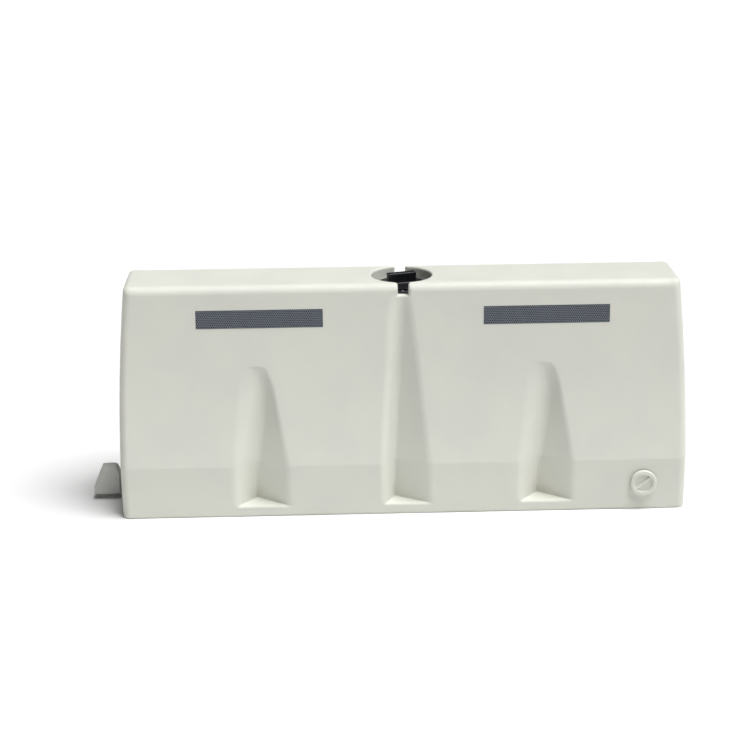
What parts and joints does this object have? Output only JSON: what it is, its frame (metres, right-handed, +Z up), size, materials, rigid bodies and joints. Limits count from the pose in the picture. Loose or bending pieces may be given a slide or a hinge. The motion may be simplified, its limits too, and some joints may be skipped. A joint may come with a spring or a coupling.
{
  "type": "water filled barrier",
  "caption": "Long free-standing moulded plastic road barrier with leaning fluted faces, a screw filler cap in a top well, a drain plug, reflective strips and an end coupling lug.",
  "frame": {"origin": "on the ground, at the middle of the tank's base", "axes": "+Z up, +X along the barrier towards the end with the coupling socket, -Y towards the front face with the drain plug"},
  "size_m": [2.118, 0.4351, 0.8302],
  "materials": {
    "moulded_white": "off-white rotationally moulded polyethylene, satin",
    "filler_black": "black moulded plastic, satin",
    "lug_grey": "grey moulded plastic, matt",
    "reflective_foil": "grey prismatic reflective sheeting with a honeycomb pattern",
    "seal_rubber": "black rubber",
    "zinc_steel": "zinc plated steel",
    "insert_brass": "turned brass"
  },
  "bodies": {
    "tank": {"shell": "moulded_white", "ring_gasket": "seal_rubber", "filler_ring": "filler_black", "ring_screw_1": "zinc_steel", "ring_screw_2": "zinc_steel", "ring_screw_3": "zinc_steel", "ring_screw_4": "zinc_steel", "ring_screw_5": "zinc_steel", "ring_screw_6": "zinc_steel", "drain_insert": "insert_brass", "front_strip_left": "reflective_foil", "front_strip_right": "reflective_foil", "rear_strip_left": "reflective_foil", "rear_strip_right": "reflective_foil", "coupling_lug": "lug_grey", "lug_bolt_1": "zinc_steel", "lug_bolt_2": "zinc_steel", "lug_bolt_3": "zinc_steel", "lug_bolt_4": "zinc_steel", "lug_washer_1": "zinc_steel", "lug_washer_2": "zinc_steel", "lug_washer_3": "zinc_steel", "lug_washer_4": "zinc_steel", "lug_insert_1": "insert_brass", "lug_insert_2": "insert_brass", "lug_insert_3": "insert_brass", "lug_insert_4": "insert_brass"},
    "cap_seal": {"cap_seal": "seal_rubber"},
    "filler_cap": {"filler_cap": "filler_black"},
    "drain_seal": {"drain_seal": "seal_rubber"},
    "drain_plug": {"drain_plug": "moulded_white"}
  },
  "joints": [
    {"name": "cap_rise", "type": "slide", "parent": "tank", "child": "cap_seal", "axis": [0, 0, 1], "range_m": [0, 0.024]},
    {"name": "cap_turn", "type": "hinge", "parent": "cap_seal", "child": "filler_cap", "pos_m": [0, 0, 0.794], "axis": [0, 0, 1], "range_deg": [0, 720]},
    {"name": "plug_out", "type": "slide", "parent": "tank", "child": "drain_seal", "axis": [0, -1, 0], "range_m": [0, 0.018]},
    {"name": "plug_turn", "type": "hinge", "parent": "drain_seal", "child": "drain_plug", "pos_m": [0.847, -0.215, 0.102], "axis": [0, -1, 0], "range_deg": [0, 1080]}
  ],
  "couplings": [
    {"joint": "cap_rise", "follows": "cap_turn", "m_per_rad": 0.0019099},
    {"joint": "plug_out", "follows": "plug_turn", "m_per_rad": 0.00095493}
  ]
}
